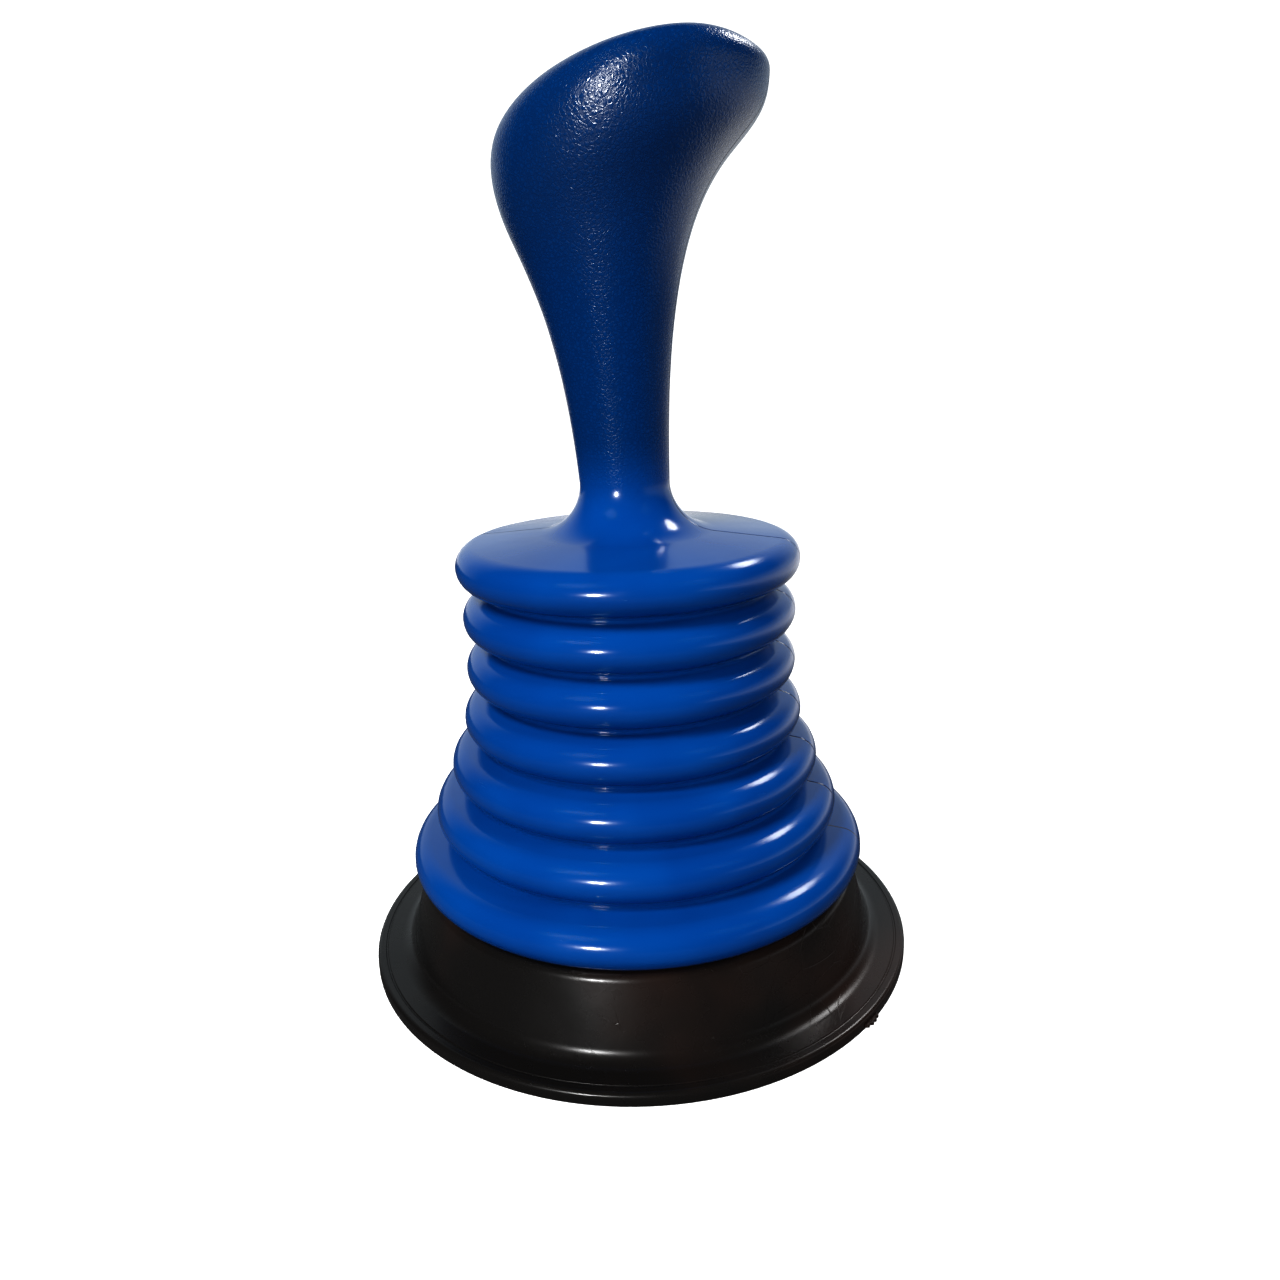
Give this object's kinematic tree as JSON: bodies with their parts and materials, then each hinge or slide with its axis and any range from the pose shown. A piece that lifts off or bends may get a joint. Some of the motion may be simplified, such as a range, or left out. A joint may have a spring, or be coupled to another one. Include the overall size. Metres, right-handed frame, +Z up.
{
  "type": "bellows plunger",
  "caption": "Hand plunger: a hollow palm knob on a slim neck, plastic bellows that squash and spring back, and a soft rubber seat that seals against the basin.",
  "frame": {"origin": "on the bellows' axis, at the face that the rim rests on", "axes": "+Z up along the bellows' axis to the knob; +X towards the knob's high tip; the mould parts on the XZ plane"},
  "size_m": [0.14, 0.14, 0.2128],
  "materials": {
    "blue_plastic": "semi-gloss blow-moulded plastic, leather grain on the handle",
    "black_rubber": "satin moulded rubber"
  },
  "bodies": {
    "seat": {"base_collar": "blue_plastic", "rubber_seat": "black_rubber"},
    "handle": {"grip": "blue_plastic", "top_plate": "blue_plastic"},
    "fold_2": {"pleat_2": "blue_plastic"},
    "fold_3": {"pleat_3": "blue_plastic"},
    "fold_4": {"pleat_4": "blue_plastic"},
    "fold_5": {"pleat_5": "blue_plastic"},
    "fold_6": {"pleat_6": "blue_plastic"}
  },
  "joints": [
    {"name": "plunge", "type": "slide", "parent": "seat", "child": "handle", "axis": [0, 0, 1], "range_m": [-0.025, 0.008], "stiffness_N_per_m": 2400},
    {"name": "fold_2", "type": "slide", "parent": "seat", "child": "fold_2", "axis": [0, 0, 1], "range_m": [-0.0243, 0.0078], "deforming": ["pleat_2"]},
    {"name": "fold_3", "type": "slide", "parent": "seat", "child": "fold_3", "axis": [0, 0, 1], "range_m": [-0.0193, 0.0062], "deforming": ["pleat_3"]},
    {"name": "fold_4", "type": "slide", "parent": "seat", "child": "fold_4", "axis": [0, 0, 1], "range_m": [-0.0119, 0.0039], "deforming": ["pleat_4"]},
    {"name": "fold_5", "type": "slide", "parent": "seat", "child": "fold_5", "axis": [0, 0, 1], "range_m": [-0.0051, 0.0017], "deforming": ["pleat_5"]},
    {"name": "fold_6", "type": "slide", "parent": "seat", "child": "fold_6", "axis": [0, 0, 1], "range_m": [-0.0007, 0.0003], "deforming": ["pleat_6"]}
  ],
  "couplings": [
    {"joint": "fold_2", "follows": "plunge", "ratio": 0.9702},
    {"joint": "fold_3", "follows": "plunge", "ratio": 0.7717},
    {"joint": "fold_4", "follows": "plunge", "ratio": 0.4758},
    {"joint": "fold_5", "follows": "plunge", "ratio": 0.2039},
    {"joint": "fold_6", "follows": "plunge", "ratio": 0.0263}
  ]
}
